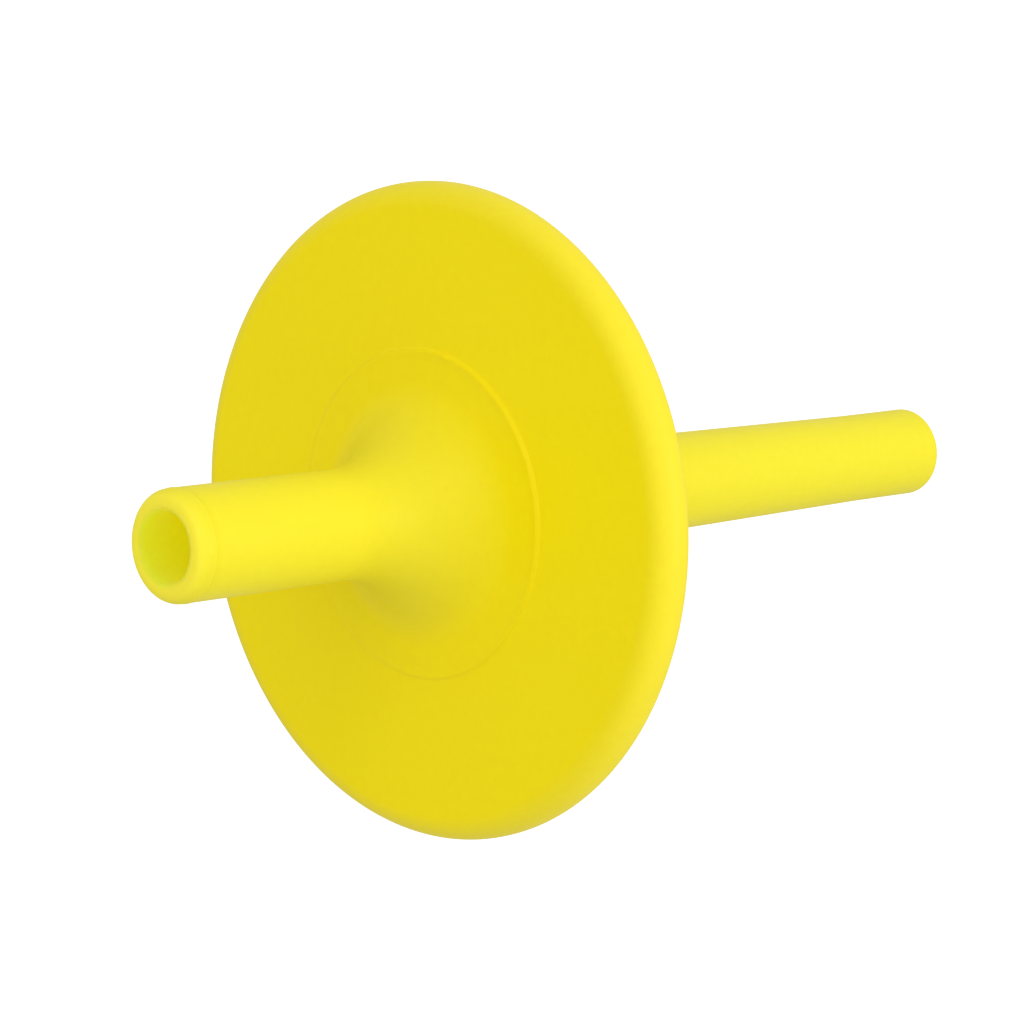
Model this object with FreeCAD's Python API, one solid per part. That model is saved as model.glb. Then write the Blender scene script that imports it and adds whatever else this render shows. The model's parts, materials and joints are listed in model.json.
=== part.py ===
"""A drinking-straw mouthpiece with a lip disc, in three push-fit pieces. Millimetres.

+Y runs along the drinking bore from the mouth end to the straw end, and +Z is up. The origin is on the
bore's axis, in the plane of the disc's lip face. The mouth spout is in front of that plane, at -Y. Its
flared collar lies in a shallow recess in the disc, and its hub goes through the disc's hole. The straw
stem plugs into the hub from behind, and its flange holds the disc against the collar.
"""

import FreeCAD, Part
import math
import os

# Driving dimensions.
INCH = 25.4
DISC_DIAMETER = 1.5 * INCH
DISC_THICKNESS = 2.5
TUBE_DIAMETER = 0.25 * INCH
BORE_DIAMETER = 4.0
OVERALL_LENGTH = 2.5 * INCH
SPOUT_LENGTH = 19.3
STEM_TIP_DIAMETER = 5.5

# The disc's rounded rim.
RIM_ROUND_FRONT = 1.4
RIM_ROUND_BACK = 1.0

# The spout's mouth.
MOUTH_ROUND_OUTSIDE = 0.8
MOUTH_ROUND_INSIDE = 0.3

# The flare is a short 45 degree cone, eased into the tube and into the collar by two arcs.
FLARE_STEP = 3.4
FLARE_ROUND_AT_TUBE = 7.5
FLARE_ROUND_AT_COLLAR = 3.0

# The flare's collar, which stands a little proud of the lip face.
COLLAR_RADIUS = DISC_DIAMETER / 4
COLLAR_PROUD = 0.15
COLLAR_EDGE_ROUND = 0.12
COLLAR_RECESS = 0.6

# The hub through the disc, and the socket in it for the stem's spigot.
HUB_RADIUS = 5.0
SOCKET_RADIUS = 3.1
SOCKET_DEPTH = 2.8
SPIGOT_LEAD_IN = 0.3

# The stem: a flange, a tapered tube, and a short straight land that a straw's bore grips.
FLANGE_RADIUS = 7.0
FLANGE_THICKNESS = 1.2
FLANGE_EDGE_ROUND = 0.4
STEM_ROOT_ROUND = 1.0
STRAW_LAND_LENGTH = 6.0
TIP_ROUND_OUTSIDE = 0.45
TIP_ROUND_INSIDE = 0.2

# Room left between pieces that fit one round the other.
FIT_CLEARANCE = 0.03

MOUTH_Y = -SPOUT_LENGTH
TIP_Y = OVERALL_LENGTH - SPOUT_LENGTH
BORE_RADIUS = BORE_DIAMETER / 2
TUBE_RADIUS = TUBE_DIAMETER / 2
DISC_RADIUS = DISC_DIAMETER / 2
STEM_TIP_RADIUS = STEM_TIP_DIAMETER / 2


def rounded_corner(before, corner, after, radius):
    """Where an arc of that radius leaves the line to a corner, its middle point, and where it joins the next."""
    back = (before - corner).normalize()
    on = (after - corner).normalize()
    half_angle = back.getAngle(on) / 2
    tangent = radius / math.tan(half_angle)
    inward = (back + on).normalize()
    middle = corner + inward * (radius / math.sin(half_angle) - radius)
    return corner + back * tangent, middle, corner + on * tangent


def revolved(corners):
    """A solid of revolution about Y from an outline of (radius, y, rounding) corners, in order round it."""
    points = [FreeCAD.Vector(radius, y, 0) for radius, y, _ in corners]
    count = len(points)
    starts, ends, edges = [], [], []
    for i, (_, _, rounding) in enumerate(corners):
        if rounding:
            first, middle, last = rounded_corner(points[i - 1], points[i], points[(i + 1) % count], rounding)
            edges.append(Part.Arc(first, middle, last).toShape())
        else:
            first = last = points[i]
        starts.append(first)
        ends.append(last)
    for i in range(count):
        edges.append(Part.LineSegment(ends[i], starts[(i + 1) % count]).toShape())
    outline = Part.Wire(Part.__sortEdges__(edges))
    turned = Part.Face(outline).revolve(FreeCAD.Vector(0, 0, 0), FreeCAD.Vector(0, 1, 0), 360)
    return Part.Solid(turned.Shells[0]) if turned.ShapeType != "Solid" else turned


def mouth_spout():
    """The short tube for the lips, flaring into a collar, with a hub behind it that is the stem's socket."""
    return revolved([
        (BORE_RADIUS, MOUTH_Y, MOUTH_ROUND_INSIDE),
        (TUBE_RADIUS, MOUTH_Y, MOUTH_ROUND_OUTSIDE),
        (TUBE_RADIUS, -COLLAR_PROUD - FLARE_STEP, FLARE_ROUND_AT_TUBE),
        (TUBE_RADIUS + FLARE_STEP, -COLLAR_PROUD, FLARE_ROUND_AT_COLLAR),
        (COLLAR_RADIUS, -COLLAR_PROUD, COLLAR_EDGE_ROUND),
        (COLLAR_RADIUS, COLLAR_RECESS, 0),
        (HUB_RADIUS, COLLAR_RECESS, 0),
        (HUB_RADIUS, DISC_THICKNESS, 0),
        (SOCKET_RADIUS, DISC_THICKNESS, 0),
        (SOCKET_RADIUS, -SOCKET_DEPTH, 0),
        (BORE_RADIUS, -SOCKET_DEPTH, 0),
    ])


def lip_disc():
    """The flat disc that the lips rest on, with the collar's recess in its face and the hub's hole."""
    hole = HUB_RADIUS + FIT_CLEARANCE
    recess = COLLAR_RADIUS + FIT_CLEARANCE
    return revolved([
        (hole, DISC_THICKNESS, 0),
        (hole, COLLAR_RECESS, 0),
        (recess, COLLAR_RECESS, 0),
        (recess, 0, 0),
        (DISC_RADIUS, 0, RIM_ROUND_FRONT),
        (DISC_RADIUS, DISC_THICKNESS, RIM_ROUND_BACK),
    ])


def straw_stem():
    """The long tapered tube for the straw, with the flange and spigot that fasten it."""
    spigot = SOCKET_RADIUS - FIT_CLEARANCE
    flange_back = DISC_THICKNESS + FLANGE_THICKNESS
    return revolved([
        (BORE_RADIUS, -SOCKET_DEPTH, 0),
        (spigot, -SOCKET_DEPTH, SPIGOT_LEAD_IN),
        (spigot, DISC_THICKNESS, 0),
        (FLANGE_RADIUS, DISC_THICKNESS, 0),
        (FLANGE_RADIUS, flange_back, FLANGE_EDGE_ROUND),
        (TUBE_RADIUS, flange_back, STEM_ROOT_ROUND),
        (STEM_TIP_RADIUS, TIP_Y - STRAW_LAND_LENGTH, 0),
        (STEM_TIP_RADIUS, TIP_Y, TIP_ROUND_OUTSIDE),
        (BORE_RADIUS, TIP_Y, TIP_ROUND_INSIDE),
    ])


def main():
    os.makedirs("parts", exist_ok=True)
    for make in (mouth_spout, lip_disc, straw_stem):
        solid = make()
        solid.exportStep(f"parts/{make.__name__}.step")
        print(make.__name__, "valid" if solid.isValid() else "INVALID", f"{solid.Volume:.1f} mm3")


main()
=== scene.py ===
"""Looks for the straw mouthpiece: finer meshes of its three soft pieces, their rubber, a floor and soft light.

The frame is the CAD's: metres, +Y along the bore from the mouth to the straw end, +Z up, the origin on the
bore's axis in the plane of the lip disc's front face.
"""
import json
import math

import bpy
from mathutils import Matrix, Vector


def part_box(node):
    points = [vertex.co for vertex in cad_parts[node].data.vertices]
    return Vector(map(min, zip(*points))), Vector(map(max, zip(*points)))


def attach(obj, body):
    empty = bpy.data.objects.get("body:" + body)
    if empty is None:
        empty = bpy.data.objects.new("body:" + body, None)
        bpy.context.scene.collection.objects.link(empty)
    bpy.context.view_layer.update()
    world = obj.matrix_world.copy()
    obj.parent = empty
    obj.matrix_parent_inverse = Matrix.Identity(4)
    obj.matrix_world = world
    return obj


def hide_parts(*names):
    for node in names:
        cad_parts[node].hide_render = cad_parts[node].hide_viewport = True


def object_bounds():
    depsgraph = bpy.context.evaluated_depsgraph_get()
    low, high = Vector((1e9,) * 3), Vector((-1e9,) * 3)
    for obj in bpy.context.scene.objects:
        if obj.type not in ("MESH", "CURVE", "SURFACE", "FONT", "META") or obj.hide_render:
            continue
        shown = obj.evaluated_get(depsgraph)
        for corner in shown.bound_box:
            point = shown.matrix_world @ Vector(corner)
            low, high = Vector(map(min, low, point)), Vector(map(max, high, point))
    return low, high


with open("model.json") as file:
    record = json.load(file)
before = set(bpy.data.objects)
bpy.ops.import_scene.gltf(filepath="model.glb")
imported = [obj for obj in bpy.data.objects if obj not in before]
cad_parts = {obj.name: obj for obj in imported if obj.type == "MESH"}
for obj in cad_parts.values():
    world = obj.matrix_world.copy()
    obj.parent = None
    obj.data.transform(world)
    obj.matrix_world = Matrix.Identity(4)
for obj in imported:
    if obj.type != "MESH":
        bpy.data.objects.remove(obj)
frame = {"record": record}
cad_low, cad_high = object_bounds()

MM = 0.001

mounts = {m["name"]: m for m in frame["record"]["mounts"]}
bore_r = mounts["drinking_bore"]["dims"]["r_mm"] * MM
tube_r = mounts["mouth_tube"]["dims"]["r_mm"] * MM
tip_r = mounts["straw_plug"]["dims"]["r_mm"] * MM
spout_low, spout_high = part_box("mouth_spout")
_, disc_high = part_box("lip_disc")
stem_low, stem_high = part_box("straw_stem")

mouth_y = spout_low.y
collar_r = spout_high.x
disc_r = disc_high.x
back_y = disc_high.y
shoulder_y = stem_low.y
tip_y = stem_high.y
flange_r = stem_high.x

# Sizes of the CAD that no box or mount gives.
MOUTH_ROUND = 0.8 * MM
MOUTH_INSIDE = 0.3 * MM
FLARE_STEP = 3.4 * MM
FLARE_AT_TUBE = 7.5 * MM
FLARE_AT_COLLAR = 3.0 * MM
COLLAR_RECESS = 0.6 * MM
COLLAR_PROUD = 0.15 * MM
COLLAR_EDGE = 0.12 * MM
HUB_R = 5.0 * MM
SOCKET_R = 3.1 * MM
SPIGOT_LEAD_IN = 0.3 * MM
FIT_GAP = 0.03 * MM
RIM_FRONT = 1.4 * MM
RIM_BACK = 1.0 * MM
FLANGE_THICK = 1.2 * MM
FLANGE_EDGE = 0.4 * MM
ROOT_ROUND = 1.0 * MM
LAND = 6.0 * MM
TIP_ROUND = 0.45 * MM
TIP_INSIDE = 0.2 * MM

# The ring round the collar: a small bead, and the disc's flash that leans on it. It is strongest at one angle
# and fades on the other side.
COLLAR_BEAD = 0.1 * MM
COLLAR_BEAD_WIDTH = 0.5 * MM
COLLAR_BEAD_FOOT = 1.0 * MM
COLLAR_FLASH = 0.2 * MM
COLLAR_FLASH_WIDTH = 0.1 * MM
COLLAR_FLASH_FOOT = 0.1 * MM
RING_STRONGEST = math.radians(27)
RING_FADE = 0.92
RING_FADE_WIDTH = 1.3 * MM

# The fine parting ridge behind the mouth.
SEAM_HEIGHT = 0.035 * MM
SEAM_HALF_WIDTH = 0.16 * MM
SEAM_ROUND = 0.1 * MM

# Small marks that moulding leaves, each an (angle, size, height).
COLLAR_NIB = (math.radians(78), 0.22 * MM, 0.08 * MM)
FLARE_DIMPLE = (math.radians(60), 0.14 * MM, -0.05 * MM)
FLARE_DIMPLE_OUT = 1.22 * FLARE_STEP
RIM_GATE = (math.radians(255), 0.32 * MM, 0.14 * MM)

# How finely the meshes are divided.
ARC_STEP = 0.15 * MM
ARC_TURN = math.radians(15)
LONGEST_RUN = 0.5 * MM
STEPS_ROUND = 240
STEPS_AT_MARK = 14
MARK_REACH = math.radians(2.5)
SHARP_FROM = math.radians(40)

# The rubber's base colours. DISC_SHADE is the rubber's own deep yellow. The other three are painted light: the
# mouth's brighter, paler yellow is painted glow, for light coming through the thin wall at the mouth, and the
# paler yellows of the tubes and the rim are painted highlight, for the paling of brightly lit parts.
MOUTH_PAINTED_GLOW = (0.98, 0.85, 0.045)
TUBE_PAINTED_HIGHLIGHT = (0.85, 0.748, 0.026)
DISC_SHADE = (0.94, 0.765, 0.001)
RIM_PAINTED_HIGHLIGHT = (0.88, 0.735, 0.03)

# The rubber's surface: noise scales per metre, and the grain's depth.
MOTTLE = 1600
SHEEN = 260
GRAIN = 5200
GRAIN_DEPTH = 0.02 * MM
GRAIN_STRENGTH = 0.35
IOR = 1.42
SPECULAR = 0.15

# How far red, green and blue light go through a tube's wall, and the skin of the bore that they come out of.
LIGHT_REACH = (4.0, 1.0, 0.05)
LIGHT_SCALE = 16.0 * MM
BORE_SKIN = 0.4 * MM

# The stage and its light.
FLOOR_DROP = 0.12
FLOOR_HALF = 30.0
FLOOR_SHADE = 0.76
FLOOR_GLOW = 0.6
SKY_LIGHT = 0.76
LAMP_DISTANCE = 0.6

# The camera, at the photograph's angle.
AZIMUTH = math.radians(44.5)
ELEVATION = math.radians(8.2)
ROLL = math.radians(0.7)
DISTANCE = 12 * disc_r
LENS = 139.96
SENSOR = 36
AIM_RIGHT = 0.2767 * disc_r
AIM_UP = 0.0065 * disc_r


def arc_points(before, corner, after, radius):
    """Points of the arc that rounds a corner between its two neighbours, at most a step and a turn apart."""
    back, on = (before - corner).normalized(), (after - corner).normalized()
    half = back.angle(on) / 2
    centre = corner + (back + on).normalized() * (radius / math.sin(half))
    start = corner + back * (radius / math.tan(half)) - centre
    end = corner + on * (radius / math.tan(half)) - centre
    sweep = math.copysign(math.pi - 2 * half, start.x * end.y - start.y * end.x)
    steps = max(math.ceil(abs(sweep) * radius / ARC_STEP), math.ceil(abs(sweep) / ARC_TURN))
    points = []
    for i in range(steps + 1):
        c, s = math.cos(sweep * i / steps), math.sin(sweep * i / steps)
        points.append(centre + Vector((start.x * c - start.y * s, start.x * s + start.y * c)))
    return points


def outline(corners):
    """A closed outline of (radius, y) points from (radius, y, rounding) corners, with long runs divided."""
    points = [Vector((r, y)) for r, y, _ in corners]
    rough = []
    for i, (_, _, rounding) in enumerate(corners):
        before, after = points[i - 1], points[(i + 1) % len(points)]
        rough += arc_points(before, points[i], after, rounding) if rounding else [points[i]]
    fine = []
    for i, p in enumerate(rough):
        q = rough[(i + 1) % len(rough)]
        runs = max(1, math.ceil((q - p).length / LONGEST_RUN))
        fine += [p.lerp(q, k / runs) for k in range(runs)]
    return fine


def angles_round(marks):
    """Angles all the way round, evenly spaced, with more of them beside each mark."""
    found = {round(2 * math.pi * k / STEPS_ROUND, 6) for k in range(STEPS_ROUND)}
    for angle, _, _ in marks:
        beside = range(STEPS_AT_MARK + 1)
        found |= {round(angle + MARK_REACH * (2 * k / STEPS_AT_MARK - 1), 6) for k in beside}
    return sorted(found)


def turned(name, profile, marks=()):
    """A closed mesh of revolution about Y, with closer points beside each (angle, size, height) mark."""
    angles = angles_round(marks)
    count = len(profile)
    verts = [(p.x * math.cos(a), p.y, p.x * math.sin(a)) for a in angles for p in profile]
    faces = []
    for k in range(len(angles)):
        n = (k + 1) % len(angles)
        for i in range(count):
            j = (i + 1) % count
            faces.append((k * count + i, k * count + j, n * count + j, n * count + i))
    mesh = bpy.data.meshes.new(name)
    mesh.from_pydata(verts, [], faces)
    mesh.validate()
    for polygon in mesh.polygons:
        polygon.use_smooth = True
    mesh.set_sharp_from_angle(angle=SHARP_FROM)
    made = bpy.data.objects.new(name, mesh)
    bpy.context.scene.collection.objects.link(made)
    return made


def fade_ring(piece):
    """Sinks the ring into the disc's face on its far side, as moulds that meet a little out of line do."""
    for v in piece.data.vertices:
        inside = collar_r - math.hypot(v.co.x, v.co.z)
        if v.co.y < 0 and inside < RING_FADE_WIDTH:
            share = 1 - max(0, inside) / RING_FADE_WIDTH
            far_side = (1 - math.cos(math.atan2(v.co.z, v.co.x) - RING_STRONGEST)) / 2
            v.co.y *= 1 - RING_FADE * share * far_side
    piece.data.update()


def raise_mark(piece, radius, y, mark):
    """Swells the surface round one point into a low nib, or sinks it into a dimple if the height is below 0."""
    angle, size, height = mark
    place = Vector((radius * math.cos(angle), y, radius * math.sin(angle)))
    moves = []
    for v in piece.data.vertices:
        near = (v.co - place).length / size
        if near < 3:
            moves.append((v, v.normal * height * math.exp(-near * near)))
    for v, move in moves:
        v.co += move
    piece.data.update()


def rubber(name, end_painted_light, bore_glow):
    """Soft matte moulded rubber with a fine even grain. Its colour is paler in the tubes and on the disc's
    rounded
    rim than on the disc: painted highlight, standing in for the paling of brightly lit parts. Round the bore it
    takes the end colour, which at the mouth is a brighter, paler yellow: painted glow. Light shows through a
    tube's wall into the bore, and bore_glow is how much of the bore's colour comes from it."""
    material = bpy.data.materials.new(name)
    material.use_nodes = True
    tree = material.node_tree
    shader = tree.nodes["Principled BSDF"]
    where = tree.nodes.new("ShaderNodeTexCoord").outputs["Object"]

    def noise(scale, detail):
        node = tree.nodes.new("ShaderNodeTexNoise")
        node.inputs["Scale"].default_value = scale
        node.inputs["Detail"].default_value = detail
        tree.links.new(where, node.inputs["Vector"])
        return node.outputs["Fac"]

    def ramp(source, first, *rest):
        """The colour that (place, colour) stops give for the source's value."""
        node = tree.nodes.new("ShaderNodeValToRGB")
        stops = node.color_ramp.elements
        stops.remove(stops[1])
        stops[0].position, colour = first
        stops[0].color = (*colour, 1)
        for position, colour in rest:
            stops.new(position).color = (*colour, 1)
        tree.links.new(source, node.inputs["Fac"])
        return node.outputs["Color"]

    def mapped(source, near, far, at_near, at_far, easing):
        node = tree.nodes.new("ShaderNodeMapRange")
        node.interpolation_type = easing
        node.inputs["From Min"].default_value = near
        node.inputs["From Max"].default_value = far
        node.inputs["To Min"].default_value = at_near
        node.inputs["To Max"].default_value = at_far
        tree.links.new(source, node.inputs["Value"])
        return node.outputs["Result"]

    across = tree.nodes.new("ShaderNodeVectorMath")
    across.operation = "MULTIPLY"
    across.inputs[1].default_value = (1, 0, 1)
    tree.links.new(where, across.inputs[0])
    from_axis = tree.nodes.new("ShaderNodeVectorMath")
    from_axis.operation = "LENGTH"
    tree.links.new(across.outputs["Vector"], from_axis.inputs[0])
    radius = from_axis.outputs["Value"]

    # Base colour by distance from the axis: painted glow at the mouth's bore, painted highlight on the tubes
    # and the rim, and the disc's own deep yellow between.
    shades = (
        (0.9 * tube_r, end_painted_light),
        (tube_r, TUBE_PAINTED_HIGHLIGHT),
        (0.8 * collar_r, DISC_SHADE),
        (0.92 * disc_r, DISC_SHADE),
        (disc_r, RIM_PAINTED_HIGHLIGHT),
    )
    stops = [(at / disc_r, shade) for at, shade in shades]
    mottled = tree.nodes.new("ShaderNodeMix")
    mottled.data_type = "RGBA"
    mottled.blend_type = "MULTIPLY"
    mottled.inputs["Factor"].default_value = 1
    tree.links.new(ramp(mapped(radius, 0, disc_r, 0, 1, "LINEAR"), *stops), mottled.inputs["A"])
    tree.links.new(ramp(noise(MOTTLE, 6), (0.32, [0.98] * 3), (0.68, [1] * 3)), mottled.inputs["B"])
    tree.links.new(mottled.outputs["Result"], shader.inputs["Base Color"])
    tree.links.new(ramp(noise(SHEEN, 3), (0.35, [0.42] * 3), (0.65, [0.5] * 3)), shader.inputs["Roughness"])

    bump = tree.nodes.new("ShaderNodeBump")
    bump.inputs["Strength"].default_value = GRAIN_STRENGTH
    bump.inputs["Distance"].default_value = GRAIN_DEPTH
    tree.links.new(noise(GRAIN, 3), bump.inputs["Height"])
    tree.links.new(bump.outputs["Normal"], shader.inputs["Normal"])

    shader.inputs["IOR"].default_value = IOR
    shader.inputs["Specular IOR Level"].default_value = SPECULAR
    glow = mapped(radius, bore_r, bore_r + BORE_SKIN, bore_glow, 0, "SMOOTHSTEP")
    tree.links.new(glow, shader.inputs["Subsurface Weight"])
    shader.inputs["Subsurface Radius"].default_value = LIGHT_REACH
    shader.inputs["Subsurface Scale"].default_value = LIGHT_SCALE
    return material


def white_stage():
    """A pale floor that lights the object from below, and that the camera sees as white."""
    material = bpy.data.materials.new("floor_white")
    material.use_nodes = True
    tree = material.node_tree
    tree.nodes.clear()
    out = tree.nodes.new("ShaderNodeOutputMaterial")
    diffuse = tree.nodes.new("ShaderNodeBsdfDiffuse")
    diffuse.inputs["Color"].default_value = (FLOOR_SHADE, FLOOR_SHADE, FLOOR_SHADE, 1)
    glow = tree.nodes.new("ShaderNodeEmission")
    glow.inputs["Strength"].default_value = FLOOR_GLOW
    rays = tree.nodes.new("ShaderNodeLightPath")
    add = tree.nodes.new("ShaderNodeAddShader")
    pick = tree.nodes.new("ShaderNodeMixShader")
    tree.links.new(rays.outputs["Is Camera Ray"], pick.inputs["Fac"])
    tree.links.new(diffuse.outputs[0], pick.inputs[1])
    tree.links.new(diffuse.outputs[0], add.inputs[0])
    tree.links.new(glow.outputs[0], add.inputs[1])
    tree.links.new(add.outputs[0], pick.inputs[2])
    tree.links.new(pick.outputs[0], out.inputs["Surface"])
    return material


def studio_sky():
    """An even pale sky for light, that the camera sees as white."""
    world = bpy.data.worlds.new("studio")
    world.use_nodes = True
    sky = world.node_tree
    light = sky.nodes["Background"]
    light.inputs["Strength"].default_value = SKY_LIGHT
    white = sky.nodes.new("ShaderNodeBackground")
    for background in (light, white):
        background.inputs["Color"].default_value = (1, 1, 1, 1)
    rays = sky.nodes.new("ShaderNodeLightPath")
    pick = sky.nodes.new("ShaderNodeMixShader")
    sky.links.new(rays.outputs["Is Camera Ray"], pick.inputs["Fac"])
    sky.links.new(light.outputs[0], pick.inputs[1])
    sky.links.new(white.outputs[0], pick.inputs[2])
    sky.links.new(pick.outputs[0], sky.nodes["World Output"].inputs["Surface"])
    return world


def softbox(name, direction, size, power):
    """A square area light that faces the object from a direction given in the row frame."""
    data = bpy.data.lights.new(name, "AREA")
    data.size = size
    data.energy = power
    lamp = bpy.data.objects.new(name, data)
    away = Vector(direction).normalized()
    lamp.location = away * LAMP_DISTANCE
    lamp.rotation_mode = "QUATERNION"
    lamp.rotation_quaternion = away.to_track_quat("Z", "Y")
    lamp.visible_camera = False
    bpy.context.scene.collection.objects.link(lamp)


# The three pieces.
seam_y = mouth_y + MOUTH_ROUND + SEAM_HALF_WIDTH
flare_y = -COLLAR_PROUD - FLARE_STEP
bead_y = -COLLAR_PROUD - COLLAR_BEAD
spout_outline = outline([
    (bore_r, mouth_y, MOUTH_INSIDE),
    (tube_r, mouth_y, MOUTH_ROUND),
    (tube_r, seam_y, 0),
    (tube_r + SEAM_HEIGHT, seam_y + SEAM_HALF_WIDTH / 2, SEAM_ROUND),
    (tube_r, seam_y + SEAM_HALF_WIDTH, 0),
    (tube_r, flare_y, FLARE_AT_TUBE),
    (tube_r + FLARE_STEP, -COLLAR_PROUD, FLARE_AT_COLLAR),
    (collar_r - COLLAR_BEAD_WIDTH, -COLLAR_PROUD, COLLAR_BEAD_FOOT),
    (collar_r, bead_y, COLLAR_EDGE),
    (collar_r, COLLAR_RECESS, 0),
    (HUB_R, COLLAR_RECESS, 0),
    (HUB_R, back_y, 0),
    (SOCKET_R, back_y, 0),
    (SOCKET_R, shoulder_y, 0),
    (bore_r, shoulder_y, 0),
])
# Soft rubber closes its own joints, so the disc fits the collar here with no gap.
disc_outline = outline([
    (HUB_R + FIT_GAP, back_y, 0),
    (HUB_R + FIT_GAP, COLLAR_RECESS, 0),
    (collar_r - FIT_GAP, COLLAR_RECESS, 0),
    (collar_r - FIT_GAP, -COLLAR_FLASH, 0),
    (collar_r + COLLAR_FLASH_WIDTH, 0, COLLAR_FLASH_FOOT),
    (disc_r, 0, RIM_FRONT),
    (disc_r, back_y, RIM_BACK),
])
stem_outline = outline([
    (bore_r, shoulder_y, 0),
    (SOCKET_R - FIT_GAP, shoulder_y, SPIGOT_LEAD_IN),
    (SOCKET_R - FIT_GAP, back_y, 0),
    (flange_r, back_y, 0),
    (flange_r, back_y + FLANGE_THICK, FLANGE_EDGE),
    (tube_r, back_y + FLANGE_THICK, ROOT_ROUND),
    (tip_r, tip_y - LAND, 0),
    (tip_r, tip_y, TIP_ROUND),
    (bore_r, tip_y, TIP_INSIDE),
])

spout = turned("spout_skin", spout_outline, [COLLAR_NIB, FLARE_DIMPLE])
raise_mark(spout, collar_r, bead_y, COLLAR_NIB)
raise_mark(spout, tube_r + FLARE_DIMPLE_OUT, -COLLAR_PROUD, FLARE_DIMPLE)
disc = turned("disc_skin", disc_outline, [RIM_GATE])
fade_ring(spout)
fade_ring(disc)
raise_mark(disc, disc_r, RIM_FRONT, RIM_GATE)
stem = turned("stem_skin", stem_outline)

# The spout's bore end takes the mouth's painted glow. The disc and stem take the tubes' painted highlight
# there.
for piece, node, slot, end_painted_light, bore_glow in (
    (spout, "mouth_spout", "spout_rubber", MOUTH_PAINTED_GLOW, 1),
    (disc, "lip_disc", "disc_rubber", TUBE_PAINTED_HIGHLIGHT, 0),
    (stem, "straw_stem", "stem_rubber", TUBE_PAINTED_HIGHLIGHT, 0.3),
):
    piece.data.materials.append(rubber(slot + "_look", end_painted_light, bore_glow))
    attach(piece, "root")
    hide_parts(node)

# The floor, the sky and the lamps.
floor_mesh = bpy.data.meshes.new("floor")
corners = [(-FLOOR_HALF, -FLOOR_HALF, 0), (FLOOR_HALF, -FLOOR_HALF, 0),
           (FLOOR_HALF, FLOOR_HALF, 0), (-FLOOR_HALF, FLOOR_HALF, 0)]
floor_mesh.from_pydata(corners, [], [(0, 1, 2, 3)])
floor_mesh.materials.append(white_stage())
floor = bpy.data.objects.new("floor", floor_mesh)
floor.location.z = cad_low.z - FLOOR_DROP
bpy.context.scene.collection.objects.link(floor)
bpy.context.scene.world = studio_sky()
softbox("key_right", (0.95, 0.25, 0.15), 0.25, 1.03)
softbox("fill_front", (0.61, -0.61, 0.47), 0.55, 1.05)

# The camera looks back along its own axis, and is aimed a little to one side of the origin.
back = Vector((
    math.sin(AZIMUTH) * math.cos(ELEVATION),
    -math.cos(AZIMUTH) * math.cos(ELEVATION),
    math.sin(ELEVATION),
))
level = Vector((math.cos(AZIMUTH), math.sin(AZIMUTH), 0))
upright = back.cross(level)
right = level * math.cos(ROLL) + upright * math.sin(ROLL)
up = upright * math.cos(ROLL) - level * math.sin(ROLL)
stand = back * DISTANCE + right * AIM_RIGHT + up * AIM_UP
camera_data = bpy.data.cameras.new("camera")
camera_data.lens = LENS
camera_data.sensor_width = SENSOR
camera_data.clip_start = 0.01
camera_data.clip_end = 100
camera = bpy.data.objects.new("camera", camera_data)
camera.matrix_world = Matrix.Translation(stand) @ Matrix((right, up, back)).transposed().to_4x4()
bpy.context.scene.collection.objects.link(camera)
bpy.context.scene.camera = camera

bpy.context.scene.view_settings.view_transform = "Standard"
